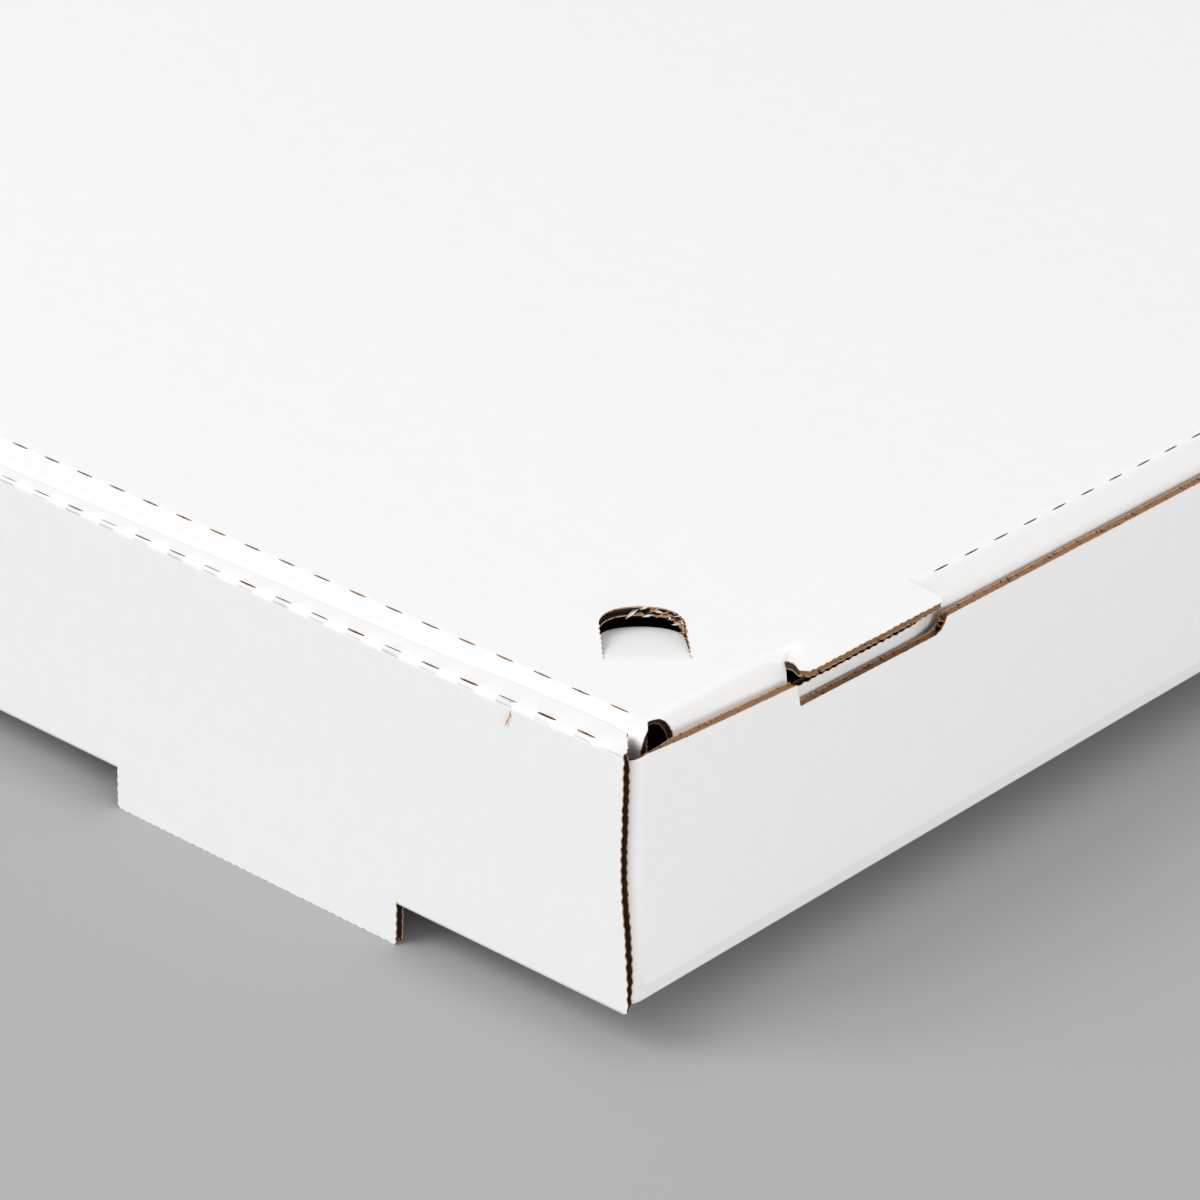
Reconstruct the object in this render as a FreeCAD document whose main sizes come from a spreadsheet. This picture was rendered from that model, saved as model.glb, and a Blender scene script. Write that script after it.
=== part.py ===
import FreeCAD, Part
import os
import re
import Sketcher

# A pizza box folded from one die-cut sheet of board, in millimetres.
# +Z is up, the front wall faces -Y and the lid hinges along the back wall's top.
# The origin is on the ground under the middle of the box.
# Each piece is drawn as its right half and mirrored across the middle.

SIZES = {
    "box_width": (330.0, "between the side walls' outer faces"),
    "box_depth": (330.0, "between the front and back walls' outer faces"),
    "board": (1.5, "board thickness"),
    "foot_drop": (7.0, "how far the feet reach below the base"),
    "wall_rise": (40.4, "base underside to the top of the front wall"),
    "lap_gap": (0.25, "gap between two layers that lie against each other"),
    "land": (5.4, "top of the rolled-over front wall, front to back"),
    "mitre_start": (0.3, "how far the land's mitred end starts in from the side"),
    "mitre_end": (4.8, "how far the inner wall's ends stand in from the sides"),
    "side_front_rise": (38.2, "side wall height ahead of its notch"),
    "side_rise": (36.2, "side wall height behind its notch"),
    "notch_drop": (2.3, "side wall's top behind its notch to the notch's floor"),
    "notch_start": (36.4, "front face to the notch's front end"),
    "notch_end": (70.6, "front face to the notch's back end"),
    "notch_round": (2.2, "radius at the back end of the notch's floor"),
    "corner_flap": (46.0, "length of the side walls' folded-in end flaps"),
    "corner_taper": (7.0, "how far an end flap's free corner is cut back"),
    "flap_headroom": (4.4, "land's top to the end flaps' top edges"),
    "corner_round": (2.2, "outer radius of the side walls' upright folds"),
    "foot_near": (42.8, "side face to a foot's near end"),
    "foot_far": (101.5, "side face to a foot's far end"),
    "lock_inset": (2.5, "how far a lock tab is narrower than its slot at each end"),
    "crease_round": (1.1, "outer radius of the folds"),
    "hinge_gap": (0.2, "gap between the back wall's top and the lid"),
    "lid_front": (9.7, "front face to the lid's front crease"),
    "lid_side": (5.2, "side face to the lid's side crease"),
    "shoulder_run": (3.7, "front-to-back reach of the front flap's sloping shoulder"),
    "shoulder_drop": (0.7, "fall of the front flap's sloping shoulder"),
    "front_flap_drop": (29.0, "depth of the lid's front flap"),
    "front_flap_side": (2.0, "side face to the front flap's end"),
    "front_flap_taper": (3.0, "how far each end of the front flap is cut back"),
    "side_flap_drop": (29.0, "depth of the lid's side flaps"),
    "side_slope_run": (3.3, "how far a side flap slopes out before it hangs"),
    "side_slope_drop": (3.9, "how far a side flap slopes down before it hangs"),
    "side_flap_start": (2.6, "lid's front crease to a side flap's front end"),
    "side_flap_back": (13.0, "back face to a side flap's back end"),
    "side_flap_taper": (8.0, "how far a side flap's ends narrow"),
    "tab_root_start": (39.0, "front face to the side tab's root"),
    "tab_start": (36.8, "front face to the side tab's front tip"),
    "tab_end": (69.0, "front face to the side tab's back end"),
    "tab_length": (6.4, "reach of the side tab from the lid's crease"),
    "tab_trim": (1.0, "how far the side tab's corners are cut back"),
    "tab_slot_drop": (5.2, "lid top to the bottom of the hole that the tab leaves"),
    "corner_relief": (0.3, "how far the lid's front corner hole bites past the rounded fold"),
    "vent_front": (23.9, "front face to the middle of the vent's fold"),
    "vent_side": (16.6, "side face to the middle of the vent's fold"),
    "vent_width": (13.0, "width of the push-in vent"),
    "vent_length": (17.0, "length of the push-in vent from its fold"),
    "vent_tilt": (14.0, "how far the vent is pushed down, in degrees"),
    "vent_gap": (0.25, "gap of the vent's cut"),
    "vent_turn": (45.0, "vent's direction, in degrees off the side"),
    "cut_length": (3.1, "length of a perforation in a fold"),
    "cut_pitch": (7.28, "about how far apart perforations are"),
    "wall_cut_open": (0.8, "width of a perforation in the front wall's top fold"),
    "wall_cut_start": (8.0, "side face to the first perforation in the front wall's top fold"),
    "lid_cut_open": (0.4, "width of a perforation in the lid's creases"),
    "lid_cut_start": (10.2, "side face to the first perforation in the lid's front crease"),
    "side_cut_start": (76.0, "front face to the first perforation in a side crease"),
}

FRONT = "(0 - box_depth / 2)"
BACK = "(box_depth / 2)"
SIDE = "(box_width / 2)"
UNDER = "foot_drop"
FLOOR = "(foot_drop + board)"
TOP = "(foot_drop + wall_rise)"
LINING = "(foot_drop + board + lap_gap)"
LAND_BACK = f"({FRONT} + land)"
LID_FRONT = f"({FRONT} + lid_front)"
LID_SIDE = f"({SIDE} - lid_side)"
FLAP_FACE = f"({LID_FRONT} - shoulder_run)"
SHOULDER_FOOT = f"({TOP} - shoulder_drop)"
FLAP_OUT = f"({LID_SIDE} + side_slope_run)"
SLOPE_FOOT = f"({TOP} - side_slope_drop)"
DIAGONAL = "0.3536"
PAST = "5"
TINY = 0.01

document = FreeCAD.newDocument("pizza_box")
sizes = document.addObject("Spreadsheet::Sheet", "sizes")


def fill_sheet():
    """Write every driving size into the sheet under its own name."""
    for row, (name, (size, meaning)) in enumerate(SIZES.items(), start=1):
        sizes.set(f"A{row}", name)
        sizes.set(f"B{row}", str(size))
        sizes.set(f"C{row}", meaning)
        sizes.setAlias(f"B{row}", name)
    document.recompute()


def bound(text):
    """Turn plain size names into references to the sheet, and leave function names alone."""
    return re.sub(r"\b[a-z]+(_[a-z]+)*\b(?!\()", lambda word: "sizes." + word.group(0), text)


def value(text):
    """The number that an expression stands for."""
    number = sizes.evalExpression(bound(text))
    return float(getattr(number, "Value", number))


def new_body(name):
    body = document.addObject("PartDesign::Body", name)
    body.Label = name
    return body


def plane_of(body, role):
    return next(item for item in body.Origin.OriginFeatures if item.Role == role)


def outline(body, name, plane, corners, level="0"):
    """A closed outline on an origin plane, each corner tied to the sheet."""
    sketch = body.newObject("Sketcher::SketchObject", name)
    sketch.AttachmentSupport = (plane_of(body, plane), [""])
    sketch.MapMode = "FlatFace"
    sketch.setExpression("AttachmentOffset.Base.z", bound(level))
    points = [FreeCAD.Vector(value(u), value(v), 0) for u, v in corners]
    for index, point in enumerate(points):
        sketch.addGeometry(Part.LineSegment(point, points[(index + 1) % len(points)]), False)
    for index, (u, v) in enumerate(corners):
        following = (index + 1) % len(corners)
        sketch.addConstraint(Sketcher.Constraint("Coincident", index, 2, following, 1))
        for kind, text in (("DistanceX", u), ("DistanceY", v)):
            made = sketch.addConstraint(Sketcher.Constraint(kind, index, 1, value(text)))
            sketch.setExpression(f"Constraints[{made}]", bound(text))
    return sketch


def pad(body, name, sketch, length, backwards=False):
    feature = body.newObject("PartDesign::Pad", name)
    feature.Profile = sketch
    feature.setExpression("Length", bound(length))
    feature.Reversed = backwards
    document.recompute()
    return feature


def pocket(body, name, sketch, length, backwards=False):
    """Cut along the sketch's normal, and stop if nothing was cut."""
    before = body.Shape.Volume
    feature = body.newObject("PartDesign::Pocket", name)
    feature.Profile = sketch
    feature.setExpression("Length", bound(length))
    feature.Reversed = backwards
    document.recompute()
    if body.Shape.Volume > before - TINY:
        raise RuntimeError(f"{name} cut nothing")
    return feature


def near(number, text):
    return abs(number - value(text)) < TINY


def edges_along(body, axis, **where):
    """Names of the straight edges along one axis at the stated coordinates."""
    found = []
    for index, edge in enumerate(body.Shape.Edges, start=1):
        if not isinstance(edge.Curve, Part.Line):
            continue
        start, end = (vertex.Point for vertex in edge.Vertexes)
        run = end - start
        if abs(abs(getattr(run.normalize(), axis)) - 1) > TINY:
            continue
        if all(near(getattr(start, key), text) for key, text in where.items()):
            found.append(f"Edge{index}")
    return found


def fillet(body, name, edges, radius):
    if not edges:
        raise RuntimeError(f"{name} found no edge")
    solid = body.Tip
    feature = body.newObject("PartDesign::Fillet", name)
    feature.Base = (solid, edges)
    feature.setExpression("Radius", bound(radius))
    document.recompute()
    return feature


def mirror(body):
    """Add the left half as the right half's reflection."""
    feature = body.newObject("PartDesign::Mirrored", body.Label + "_halves")
    feature.TransformMode = "Whole shape"
    feature.MirrorPlane = (plane_of(body, "YZ_Plane"), [""])
    body.Tip = feature
    document.recompute()


def slot_corners(outer, inner, width):
    """A slim slot's section, from just outside a fold's outer corner to past its inner one."""
    ahead = [f"({inner[k]} - {outer[k]})" for k in (0, 1)]
    aside = [f"({width} * {DIAGONAL} * {ahead[1]} / board)", f"({width} * {DIAGONAL} * {ahead[0]} / board)"]
    start = [f"({outer[k]} - {ahead[k]} / 2)" for k in (0, 1)]
    end = [f"({inner[k]} + {ahead[k]} / 3)" for k in (0, 1)]
    return [(f"{start[0]} + {aside[0]}", f"{start[1]} - {aside[1]}"),
            (f"{start[0]} - {aside[0]}", f"{start[1]} + {aside[1]}"),
            (f"{end[0]} - {aside[0]}", f"{end[1]} + {aside[1]}"),
            (f"{end[0]} + {aside[0]}", f"{end[1]} - {aside[1]}")]


def perforate(body, name, plane, corners, first, count, pitch):
    """A row of slots through a fold, from the cut at first on."""
    axis, sign = ("X_Axis", "+") if plane == "YZ_Plane" else ("Y_Axis", "-")
    start = f"{first} {sign} cut_length / 2"
    section = outline(body, name + "_section", plane, corners,
                      level=start if sign == "+" else f"0 - ({start})")
    cut = pocket(body, name + "_cut", section, "cut_length")
    row = body.newObject("PartDesign::LinearPattern", name + "_row")
    row.Originals = [cut]
    row.Direction = (plane_of(body, axis), [""])
    row.Reversed = sign == "+"
    row.setExpression("Occurrences", bound(count))
    row.setExpression("Length", bound(f"({count} - 1) * {pitch}"))
    body.Tip = row
    document.recompute()


def perforate_front(body, name, corners, start):
    """A row along a front fold, evenly spaced about the middle of the box."""
    whole = f"({SIDE} - {start})"
    count = f"round({whole} / cut_pitch + 1 / 2)"
    perforate(body, name, "YZ_Plane", corners, f"({SIDE} - {start})", count, f"{whole} / ({count} - 1 / 2)")


def make_tray():
    body = new_body("tray")
    add_floor_and_walls(body)
    add_floor_reliefs(body)
    add_side_wall(body)
    add_corner_flaps(body)
    add_feet(body)
    soften_tray(body)
    corners = slot_corners((FRONT, TOP), (f"({FRONT} + board)", f"({TOP} - board)"), "wall_cut_open")
    perforate_front(body, "wall", corners, "wall_cut_start")
    mirror(body)
    return body


def add_floor_and_walls(body):
    """Base, back wall and the front wall that rolls over its land and back down."""
    back_top = f"{TOP} - board - hinge_gap"
    lining_front = f"{LAND_BACK} - board"
    strip = outline(body, "strip_section", "YZ_Plane", [
        (BACK, back_top), (BACK, UNDER), (FRONT, UNDER), (FRONT, TOP),
        (LAND_BACK, TOP), (LAND_BACK, LINING), (lining_front, LINING),
        (lining_front, f"{TOP} - board"), (f"{FRONT} + board", f"{TOP} - board"),
        (f"{FRONT} + board", FLOOR), (f"{BACK} - board", FLOOR), (f"{BACK} - board", back_top)])
    pad(body, "strip", strip, SIDE)
    mitre = outline(body, "mitre_outline", "XY_Plane", [
        (f"{SIDE} - mitre_start", f"{FRONT} + board"), (f"{SIDE} - mitre_end", LAND_BACK),
        (f"{SIDE} - mitre_end", f"{LAND_BACK} + {PAST}"),
        (f"{SIDE} + {PAST}", f"{LAND_BACK} + {PAST}"), (f"{SIDE} + {PAST}", f"{FRONT} + board")],
        level=TOP)
    pocket(body, "mitre", mitre, "wall_rise - board")


def add_floor_reliefs(body):
    """Small openings at the base's corners, where the folds of three panels meet."""
    for name, outer, inner in (
            ("front", f"({FRONT} + board)", f"({FRONT} + 2 * board + lap_gap)"),
            ("back", f"({BACK} - board)", f"({BACK} - 2 * board - lap_gap)")):
        relief = outline(body, name + "_relief_outline", "XY_Plane", [
            (f"{SIDE} - board", outer), (f"{SIDE} + {PAST}", outer),
            (f"{SIDE} + {PAST}", inner), (f"{SIDE} - board", inner)], level=FLOOR)
        pocket(body, name + "_relief", relief, "board")


def add_side_wall(body):
    """Side wall with the notch that the lid's tab reaches over."""
    notch_floor = f"({UNDER} + side_rise - notch_drop)"
    front_end = f"({FRONT} + 2 * board + lap_gap)"
    back_end = f"({BACK} - 2 * board - lap_gap)"
    wall = outline(body, "side_outline", "YZ_Plane", [
        (front_end, UNDER), (front_end, f"{UNDER} + side_front_rise"),
        (f"{FRONT} + notch_start", f"{UNDER} + side_front_rise"),
        (f"{FRONT} + notch_start", notch_floor),
        (f"{FRONT} + notch_end", notch_floor),
        (f"{FRONT} + notch_end", f"{UNDER} + side_rise"),
        (back_end, f"{UNDER} + side_rise"), (back_end, UNDER)], level=f"{SIDE} - board")
    pad(body, "side_wall", wall, "board")
    floor_corner = edges_along(body, "x", y=f"{FRONT} + notch_end", z=notch_floor)
    fillet(body, "notch_corner", floor_corner, "notch_round")


def add_corner_flaps(body):
    """End flaps of the side wall, folded in behind the front and back walls."""
    for name, face, inward, top in (
            ("front", f"({FRONT} + board + lap_gap)", "+", "side_front_rise"),
            ("back", f"({BACK} - board - lap_gap)", "-", "side_rise")):
        far_face = f"({face} {inward} board)"
        wall_end = f"({face} {inward} 2 * board)"
        turn_end = f"({SIDE} - corner_round - board)"
        corner = outline(body, name + "_corner_plan", "XY_Plane", [
            (SIDE, wall_end), (SIDE, face), (turn_end, face), (turn_end, far_face),
            (f"{SIDE} - board", far_face), (f"{SIDE} - board", wall_end)], level=LINING)
        pad(body, name + "_corner", corner, f"{UNDER} + {top} - {LINING}")
        flap_top = f"({TOP} - flap_headroom)"
        flap = outline(body, name + "_corner_flap_outline", "XZ_Plane", [
            (f"{SIDE} - corner_round", LINING), (f"{SIDE} - corner_round", flap_top),
            (f"{SIDE} - corner_flap + corner_taper", flap_top),
            (f"{SIDE} - corner_flap", f"{flap_top} - 2 * corner_taper"),
            (f"{SIDE} - corner_flap", LINING)], level=f"0 - {face}")
        pad(body, name + "_corner_flap", flap, "board", backwards=(inward == "+"))
        outer = edges_along(body, "z", x=SIDE, y=face)
        fillet(body, name + "_corner_round", outer, "corner_round")


def add_feet(body):
    """Feet left standing in the walls' planes, and the slots that they leave in the base."""
    near_end = f"({SIDE} - foot_near)"
    far_end = f"({SIDE} - foot_far)"
    for name, wall_face, slot_start, slot_end in (
            ("front", FRONT, f"({FRONT} + board)", f"({FRONT} + board + foot_drop)"),
            ("back", f"({BACK} - board)", f"({BACK} - board - foot_drop)", f"({BACK} - board)")):
        foot = outline(body, name + "_foot_outline", "XZ_Plane", [
            (far_end, "0"), (near_end, "0"), (near_end, FLOOR), (far_end, FLOOR)],
            level=f"0 - {wall_face}")
        pad(body, name + "_foot", foot, "board", backwards=True)
        slot = outline(body, name + "_slot_outline", "XY_Plane", [
            (far_end, slot_start), (near_end, slot_start), (near_end, slot_end),
            (far_end, slot_end)], level=FLOOR)
        pocket(body, name + "_slot", slot, "board")
    lock = outline(body, "lock_outline", "XY_Plane", [
        (f"{far_end} + lock_inset", f"{LAND_BACK} - board"),
        (f"{near_end} - lock_inset", f"{LAND_BACK} - board"),
        (f"{near_end} - lock_inset", LAND_BACK), (f"{far_end} + lock_inset", LAND_BACK)],
        level=UNDER)
    pad(body, "lock_tab", lock, "board + 2 * lap_gap")


def soften_tray(body):
    """Round the outsides of the folds."""
    folds = edges_along(body, "x", y=FRONT, z=TOP) + edges_along(body, "x", y=LAND_BACK, z=TOP)
    fillet(body, "land_folds", folds, "crease_round")
    folds = edges_along(body, "y", x=SIDE, z=UNDER)
    fillet(body, "side_fold", folds, "crease_round")


def fold_factor(rise, run):
    """How far the inner side of a fold sits from its outer corner, in board thicknesses."""
    return f"tan(atan({rise} / {run}) / 2)"


def make_lid():
    body = new_body("lid")
    add_panel_and_front_flap(body)
    add_side_flap(body)
    add_side_tab(body)
    add_vent(body)
    soften_lid(body)
    perforate_lid(body)
    mirror(body)
    return body


def add_panel_and_front_flap(body):
    """Top panel, its shoulder and the flap that tucks down inside the front wall."""
    flap_end = f"({TOP} - front_flap_drop)"
    shoulder_fold = fold_factor("shoulder_drop", "shoulder_run")
    flap_fold = fold_factor("shoulder_run", "shoulder_drop")
    section = outline(body, "lid_section", "YZ_Plane", [
        (BACK, TOP), (LID_FRONT, TOP), (FLAP_FACE, SHOULDER_FOOT), (FLAP_FACE, flap_end),
        (f"{FLAP_FACE} + board", flap_end),
        (f"{FLAP_FACE} + board", f"{SHOULDER_FOOT} - board * {flap_fold}"),
        (f"{LID_FRONT} + board * {shoulder_fold}", f"{TOP} - board"), (BACK, f"{TOP} - board")])
    pad(body, "panel", section, f"{SIDE} - front_flap_side")
    corner = f"({LID_SIDE} - crease_round - corner_relief)"
    flap_start = f"({LID_FRONT} + side_flap_start)"
    flap_back = f"({BACK} - side_flap_back)"
    shoulder_end = f"({FLAP_FACE} + board / 2)"
    edge = outline(body, "panel_edge", "XY_Plane", [
        (corner, f"{LID_FRONT} - crease_round"), (f"{SIDE} - front_flap_side", shoulder_end),
        (f"{SIDE} + {PAST}", shoulder_end), (f"{SIDE} + {PAST}", f"{BACK} + {PAST}"),
        (corner, f"{BACK} + {PAST}"), (corner, flap_back), (LID_SIDE, flap_back),
        (LID_SIDE, flap_start), (corner, flap_start)], level=TOP)
    pocket(body, "panel_trimmed", edge, "shoulder_drop + 2 * board")
    taper_top = f"({SHOULDER_FOOT} - 2 * board)"
    taper = outline(body, "flap_taper", "XZ_Plane", [
        (f"{SIDE} - front_flap_side", taper_top),
        (f"{SIDE} - front_flap_side - front_flap_taper", flap_end),
        (f"{SIDE} + {PAST}", flap_end), (f"{SIDE} + {PAST}", taper_top)],
        level=f"0 - {FLAP_FACE}")
    pocket(body, "flap_tapered", taper, "board")


def add_side_flap(body):
    """Flap that slopes out until it lies against the side wall, with the hole that its tab leaves."""
    front_end = f"({LID_FRONT} + side_flap_start)"
    back_end = f"({BACK} - side_flap_back)"
    foot = f"({TOP} - side_flap_drop)"
    crease_fold = fold_factor("side_slope_drop", "side_slope_run")
    hang_fold = fold_factor("side_slope_run", "side_slope_drop")
    slope = outline(body, "side_slope_section", "XZ_Plane", [
        (LID_SIDE, TOP), (FLAP_OUT, SLOPE_FOOT),
        (f"{FLAP_OUT} - board", f"{SLOPE_FOOT} - board * {hang_fold}"),
        (f"{LID_SIDE} - board * {crease_fold}", f"{TOP} - board")], level=f"0 - {front_end}")
    pad(body, "side_slope", slope, f"{back_end} - {front_end}", backwards=True)
    flap = outline(body, "side_flap_outline", "YZ_Plane", [
        (front_end, SLOPE_FOOT), (front_end, f"{SLOPE_FOOT} - side_flap_taper"),
        (f"{front_end} + side_flap_taper", foot), (f"{back_end} - side_flap_taper", foot),
        (back_end, f"{SLOPE_FOOT} - side_flap_taper"), (back_end, SLOPE_FOOT)],
        level=f"{FLAP_OUT} - board")
    pad(body, "side_flap", flap, "board")
    slot = outline(body, "tab_slot_outline", "YZ_Plane", [
        (f"{FRONT} + tab_root_start", f"{TOP} - board"),
        (f"{FRONT} + tab_start", f"{TOP} - tab_slot_drop"),
        (f"{FRONT} + tab_end + board", f"{TOP} - tab_slot_drop"),
        (f"{FRONT} + tab_end", f"{TOP} - board")], level=FLAP_OUT)
    pocket(body, "tab_slot", slot, "side_slope_run + 2 * board")


def add_side_tab(body):
    """Tab that stays level with the lid and reaches over the side wall's notch."""
    tab = outline(body, "tab_outline", "XY_Plane", [
        (f"{LID_SIDE} - board", f"{FRONT} + tab_root_start"),
        (f"{LID_SIDE} + tab_length / 3", f"{FRONT} + tab_root_start"),
        (f"{LID_SIDE} + tab_length", f"{FRONT} + tab_start"),
        (f"{LID_SIDE} + tab_length", f"{FRONT} + tab_end - tab_trim"),
        (f"{LID_SIDE} + tab_length / 2", f"{FRONT} + tab_end"),
        (f"{LID_SIDE} - board", f"{FRONT} + tab_end")], level=TOP)
    pad(body, "side_tab", tab, "board", backwards=True)


def tongue(body, name, length, width, tilt):
    """Round-ended outline that starts at the vent's fold and points to the lid's middle."""
    sketch = body.newObject("Sketcher::SketchObject", name)
    sketch.AttachmentSupport = (plane_of(body, "XY_Plane"), [""])
    sketch.MapMode = "FlatFace"
    place = (f"placement(vector({SIDE} - vent_side; {FRONT} + vent_front; {TOP}); "
             f"rotation(180 - vent_turn; {tilt}; 0))")
    sketch.setExpression("AttachmentOffset", bound(place))
    reach = value(length)
    half = value(width) / 2
    straight = reach - half
    corners = [FreeCAD.Vector(u, v, 0) for u, v in (
        (0, half), (0, -half), (straight, -half), (straight, half))]
    sketch.addGeometry(Part.LineSegment(corners[0], corners[1]), False)
    sketch.addGeometry(Part.LineSegment(corners[1], corners[2]), False)
    tip = FreeCAD.Vector(reach, 0, 0)
    sketch.addGeometry(Part.Arc(corners[2], tip, corners[3]), False)
    sketch.addGeometry(Part.LineSegment(corners[3], corners[0]), False)
    for first, second in ((0, 1), (3, 0)):
        sketch.addConstraint(Sketcher.Constraint("Coincident", first, 2, second, 1))
    sketch.addConstraint(Sketcher.Constraint("Tangent", 1, 2, 2, 1))
    sketch.addConstraint(Sketcher.Constraint("Tangent", 2, 2, 3, 1))
    sketch.addConstraint(Sketcher.Constraint("Horizontal", 1))
    sketch.addConstraint(Sketcher.Constraint("PointOnObject", 0, 1, -2))
    sketch.addConstraint(Sketcher.Constraint("PointOnObject", 0, 2, -2))
    sketch.addConstraint(Sketcher.Constraint("PointOnObject", 2, 3, -1))
    for kind, where, number, text in (
            ("DistanceY", (0, 1), half, f"{width} / 2"),
            ("DistanceX", (2, 3), straight, f"{length} - {width} / 2")):
        made = sketch.addConstraint(Sketcher.Constraint(kind, *where, number))
        sketch.setExpression(f"Constraints[{made}]", bound(text))
    return sketch


def add_vent(body):
    """Push-in vent: a tongue cut on three sides and bent down at its fold."""
    hole = tongue(body, "vent_hole_outline", "vent_length", "vent_width", "0")
    pocket(body, "vent_hole", hole, "board")
    flap = tongue(body, "vent_flap_outline", "(vent_length - vent_gap)",
                  "(vent_width - 2 * vent_gap)", "vent_tilt")
    pad(body, "vent_flap", flap, "board", backwards=True)


def soften_lid(body):
    """Round the outsides of the folds."""
    shoulder = edges_along(body, "x", y=FLAP_FACE, z=SHOULDER_FOOT)
    fillet(body, "shoulder_fold", shoulder, "crease_round")
    side_folds = edges_along(body, "y", x=LID_SIDE, z=TOP)
    side_folds += edges_along(body, "y", x=FLAP_OUT, z=SLOPE_FOOT)
    fillet(body, "side_folds", side_folds, "crease_round")


def perforate_lid(body):
    """Rows of cuts along the lid's front crease and behind the tab on its side crease."""
    under = f"({TOP} - board)"
    front_fold = fold_factor("shoulder_drop", "shoulder_run")
    front = slot_corners((LID_FRONT, TOP), (f"({LID_FRONT} + board * {front_fold})", under), "lid_cut_open")
    perforate_front(body, "front_crease", front, "lid_cut_start")
    side_fold = fold_factor("side_slope_drop", "side_slope_run")
    side = slot_corners((LID_SIDE, TOP), (f"({LID_SIDE} - board * {side_fold})", under), "lid_cut_open")
    reach = "(box_depth - side_flap_back - side_cut_start - cut_length)"
    perforate(body, "side_crease", "XZ_Plane", side, f"({FRONT} + side_cut_start)",
              f"floor({reach} / cut_pitch + 1)", "cut_pitch")


def check_document():
    """Stop if any object failed or any piece isn't one valid solid."""
    for item in document.Objects:
        if {"Invalid", "Error"} & set(item.State):
            raise RuntimeError(f"{item.Name} failed: {item.State}")
    for piece in pieces:
        shape = piece.Shape
        if shape.isNull() or not shape.isValid() or len(shape.Solids) != 1:
            raise RuntimeError(f"{piece.Label} isn't one valid solid")


fill_sheet()
pieces = [make_tray(), make_lid()]
document.recompute()
check_document()
os.makedirs("parts", exist_ok=True)
for piece in pieces:
    piece.Shape.exportStep(f"parts/{piece.Label}.step")
    print(piece.Label, round(piece.Shape.Volume, 1), piece.Shape.BoundBox)
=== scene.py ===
import math

import bpy
from mathutils import Matrix, Vector, noise
from mathutils.geometry import delaunay_2d_cdt


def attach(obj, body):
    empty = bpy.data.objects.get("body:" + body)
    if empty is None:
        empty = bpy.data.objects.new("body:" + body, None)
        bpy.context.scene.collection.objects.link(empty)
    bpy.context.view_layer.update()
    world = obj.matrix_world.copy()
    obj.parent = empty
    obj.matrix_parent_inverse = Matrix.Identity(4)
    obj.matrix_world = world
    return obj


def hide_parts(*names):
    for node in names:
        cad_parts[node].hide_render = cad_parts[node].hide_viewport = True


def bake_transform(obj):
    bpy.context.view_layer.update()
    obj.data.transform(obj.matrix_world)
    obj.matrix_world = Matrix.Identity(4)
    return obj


# Looks of the pizza box: white board sheets with kraft inside, creased, cut and torn.
# Shapes are worked out in millimetres in the row frame and turned into metres in Sheet.build.

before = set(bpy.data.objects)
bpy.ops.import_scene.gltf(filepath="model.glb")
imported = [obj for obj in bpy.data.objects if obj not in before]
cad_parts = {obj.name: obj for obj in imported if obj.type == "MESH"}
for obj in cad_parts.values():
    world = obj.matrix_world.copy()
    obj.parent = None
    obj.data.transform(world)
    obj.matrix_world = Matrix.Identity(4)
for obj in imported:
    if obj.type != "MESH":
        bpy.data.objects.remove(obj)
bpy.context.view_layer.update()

MM = 0.001

# Lengths of the construction
HALF = 165.0
TOP = 47.4
BOARD = 1.5
BASE = 7.0
BASE_BEND = 0.9
LAND_BEND = 1.0
LAND_BACK_BEND = 0.7
LAND = 5.4
CORNER_BEND = 2.2
CORNER_TURN = HALF - BOARD - 0.25 - CORNER_BEND
LINING_FOOT = 8.8
LOCK_FOOT = 6.9
FOOT = (HALF - 101.5, HALF - 42.8)
SLOT_DEPTH = 8.5
LID_FRONT = HALF - 9.7
LID_SIDE = HALF - 5.2
LID_BEND = 1.6
SIDE_BEND = 2.2
SIDE_LEAN = math.radians(50)
SIDE_FLAP_FACE = HALF - 1.9
HINGE_BEND = 1.6
FLAP_FACE = HALF - 5.7
SHOULDER_ANGLE = math.radians(9)
LOOSE_BEND = 1.55
LOOSE_FOLD = 3.0
FLAP_FOOT = TOP - 29.0
SIDE_FLAP_BACK = 152.0
CORNER_REACH = 1.25
TAB_ROOT = (HALF - 39.6, HALF - 69.2)
TAB_TIP = 166.0

# How far the land's edge is pushed forward, by distance from the side
WANDER = ((4.8, 0.0), (10, 0.55), (24, 0.4), (40, -0.6), (56, -0.75), (130, -1.9), (165, -1.9))

# Cut edges: their wave and its depth, and how far the core stands back from them
CUT_PITCH = 1.55
CUTS = {"cut": ((0.0, 1.0, 0.2, -0.9), 0.1), "trim": ((0.0, 0.5), 0.05)}
# Cores recessed more than PRESSED are painted dark as shade.
PRESSED = 0.1
AJAR = 0.3
OPEN = 1.1

# Creases and slits
CREASED = 0.85
CRIMP_REACH = 1.6
SLOT_LENGTH = 3.5
SLITS = 44
FRONT_SLIT = HALF - 8.45
LID_SLIT = HALF - 10.0
HINGE_END = HALF - 4.6
VENT_FOLD = (HALF - 16.6, 23.1 - HALF)
VENT_REACH = 17.6
VENT_WIDTH = 12.5
VENT_GAP = 0.12

# How the box has settled
BOW = 0.5
SPREAD = 0.5
EDGE_LIFT = 1.5
EDGE_DROP = 0.5
SAG = 0.7

# Mesh and surface
MERGES_PER_MM = 200
NUDGE = 0.01
FOLD_STEP = 6.0
GOLDEN = 0.618034
FLUTE_PITCH = 3.1
FIBRE_SCALE = 2600.0
# The fourth slot is painted shade: the dark inside of open cut edges.
WHITE, KRAFT, CUT, FLUTE_SHADE = range(4)


def ease(low, high, at):
    """0 below low, 1 above high, smooth between."""
    part = min(max((at - low) / (high - low), 0.0), 1.0)
    return part * part * (3 - 2 * part)


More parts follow.
